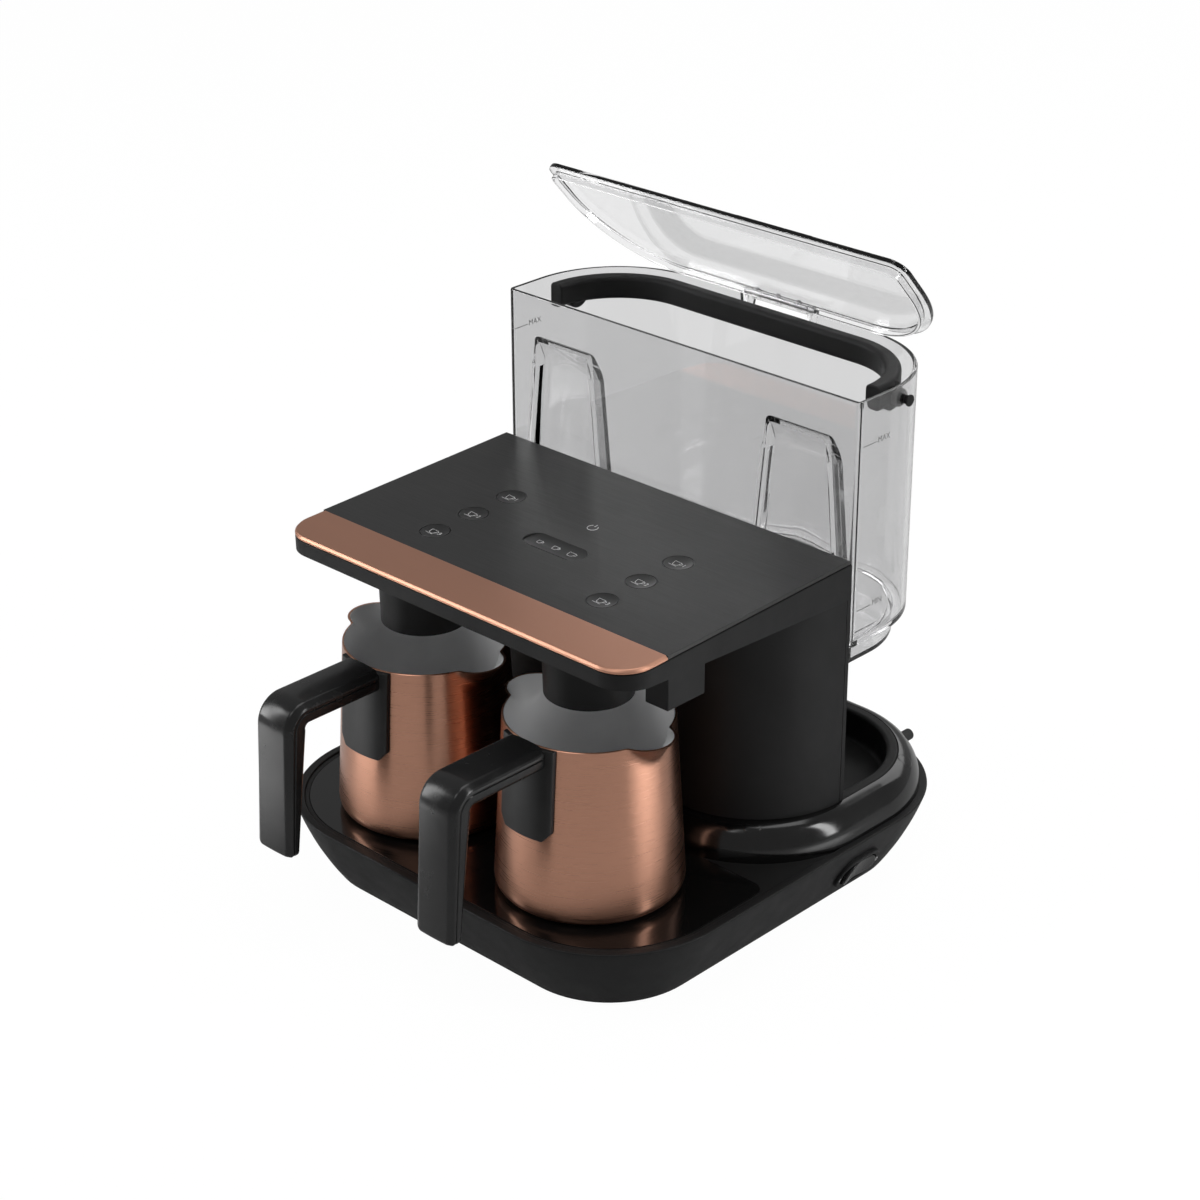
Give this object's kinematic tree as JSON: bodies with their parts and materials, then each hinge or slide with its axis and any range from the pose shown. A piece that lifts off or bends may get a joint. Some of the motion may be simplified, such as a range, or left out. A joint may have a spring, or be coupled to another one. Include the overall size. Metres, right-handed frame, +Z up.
{
  "type": "electric turkish coffee maker",
  "caption": "Electric Turkish coffee maker: dark base with hotplate, copper-coloured pots under a control head, and a clear lift-out water tank with lid and bail behind.",
  "frame": {"origin": "in the table's plane, under the middle of the base between column and pots; the flat underside lies 2.5 mm above it on the rubber feet", "axes": "+X to the machine's right as the user faces it, -Y towards the user, +Z up"},
  "size_m": [0.26, 0.314, 0.3282],
  "materials": {
    "matte_black": "fine matte",
    "gloss_black": "polished",
    "key_black": "satin",
    "dark_panel": "brushed sideways, darkened",
    "copper": "satin copper colour",
    "clear": "clear, see-through",
    "rubber": "matte",
    "silicone": "translucent silicone",
    "steel": "bright",
    "aluminium": "as cast",
    "plate_glass": "black glass",
    "board_green": "circuit board",
    "white_plastic": "satin",
    "sensor_red": "dark red window",
    "ceramic": "ceramic body"
  },
  "bodies": {
    "machine": {"base_shell": "matte_black", "base_deck": "matte_black", "bottom_cover": "matte_black", "bottom_screws": "steel", "rubber_feet": "rubber", "hotplate": "plate_glass", "heater_left": "aluminium", "heater_right": "aluminium", "heat_sensors": "ceramic", "power_board": "board_green", "pedestal_dome": "gloss_black", "dome_caps": "gloss_black", "tank_well": "matte_black", "outlet_seal": "silicone", "cord_sleeve": "matte_black", "switch_housing": "gloss_black", "column_shell": "matte_black", "column_back": "matte_black", "column_screws": "steel", "water_pump": "white_plastic", "pump_bracket": "steel", "hose_inlet": "silicone", "hose_left": "silicone", "hose_right": "silicone", "head_shell": "matte_black", "control_panel": "dark_panel", "copper_trim": "copper", "control_board": "board_green", "nozzle_left": "matte_black", "nozzle_right": "matte_black", "sensor_block_left": "matte_black", "sensor_block_right": "matte_black", "sensor_windows": "sensor_red"},
    "tank": {"tank_body": "clear", "lid_hinge_pin": "steel", "valve_body": "white_plastic", "valve_cap": "white_plastic", "valve_spring": "steel"},
    "tank_lid": {"tank_lid": "clear"},
    "tank_bail": {"tank_bail": "matte_black"},
    "valve_stem": {"valve_stem": "key_black"},
    "pot_left": {"pot_left": "copper", "pot_collar_left": "gloss_black", "handle_shell_left": "gloss_black", "handle_core_left": "gloss_black", "handle_screw_left": "steel"},
    "pot_right": {"pot_right": "copper", "pot_collar_right": "gloss_black", "handle_shell_right": "gloss_black", "handle_core_right": "gloss_black", "handle_screw_right": "steel"},
    "power_rocker": {"power_rocker": "gloss_black"},
    "key_left_1": {"key_left_1": "key_black"},
    "key_left_2": {"key_left_2": "key_black"},
    "key_left_3": {"key_left_3": "key_black"},
    "key_right_1": {"key_right_1": "key_black"},
    "key_right_2": {"key_right_2": "key_black"},
    "key_right_3": {"key_right_3": "key_black"},
    "key_size": {"key_size": "key_black"}
  },
  "joints": [
    {"name": "tank_lift", "type": "slide", "parent": "machine", "child": "tank", "axis": [0, 0, 1], "range_m": [-0.0814, 0.06]},
    {"name": "lid_hinge", "type": "hinge", "parent": "tank", "child": "tank_lid", "pos_m": [0, 0.126, 0.2672], "axis": [-1, 0, 0], "range_deg": [-48, 52]},
    {"name": "bail_pivot", "type": "hinge", "parent": "tank", "child": "tank_bail", "pos_m": [0, 0.0825, 0.258], "axis": [1, 0, 0], "range_deg": [0, 90]},
    {"name": "valve_lift", "type": "slide", "parent": "tank", "child": "valve_stem", "axis": [0, 0, 1], "range_m": [0, 0.0025], "stiffness_N_per_m": 200, "springref_m": -0.001, "deforming": ["valve_spring"]},
    {"name": "pot_left_out", "type": "slide", "parent": "machine", "child": "pot_left", "axis": [0, -0.9945, 0.1045], "range_m": [0, 0.12]},
    {"name": "pot_right_out", "type": "slide", "parent": "machine", "child": "pot_right", "axis": [0, -0.9945, 0.1045], "range_m": [0, 0.12]},
    {"name": "key_left_1_press", "type": "slide", "parent": "machine", "child": "key_left_1", "axis": [0, 0.0244, -0.9997], "range_m": [0, 0.0008], "stiffness_N_per_m": 300, "springref_m": -0.0005},
    {"name": "key_left_2_press", "type": "slide", "parent": "machine", "child": "key_left_2", "axis": [0, 0.0244, -0.9997], "range_m": [0, 0.0008], "stiffness_N_per_m": 300, "springref_m": -0.0005},
    {"name": "key_left_3_press", "type": "slide", "parent": "machine", "child": "key_left_3", "axis": [0, 0.0244, -0.9997], "range_m": [0, 0.0008], "stiffness_N_per_m": 300, "springref_m": -0.0005},
    {"name": "key_right_1_press", "type": "slide", "parent": "machine", "child": "key_right_1", "axis": [0, 0.0244, -0.9997], "range_m": [0, 0.0008], "stiffness_N_per_m": 300, "springref_m": -0.0005},
    {"name": "key_right_2_press", "type": "slide", "parent": "machine", "child": "key_right_2", "axis": [0, 0.0244, -0.9997], "range_m": [0, 0.0008], "stiffness_N_per_m": 300, "springref_m": -0.0005},
    {"name": "key_right_3_press", "type": "slide", "parent": "machine", "child": "key_right_3", "axis": [0, 0.0244, -0.9997], "range_m": [0, 0.0008], "stiffness_N_per_m": 300, "springref_m": -0.0005},
    {"name": "key_size_press", "type": "slide", "parent": "machine", "child": "key_size", "axis": [0, 0.0244, -0.9997], "range_m": [0, 0.0008], "stiffness_N_per_m": 300, "springref_m": -0.0005},
    {"name": "power_switch", "type": "hinge", "parent": "machine", "child": "power_rocker", "pos_m": [0.11998, 0.0486, 0.02182], "axis": [0.4384, 0, 0.8988], "range_deg": [-8, 8]}
  ]
}
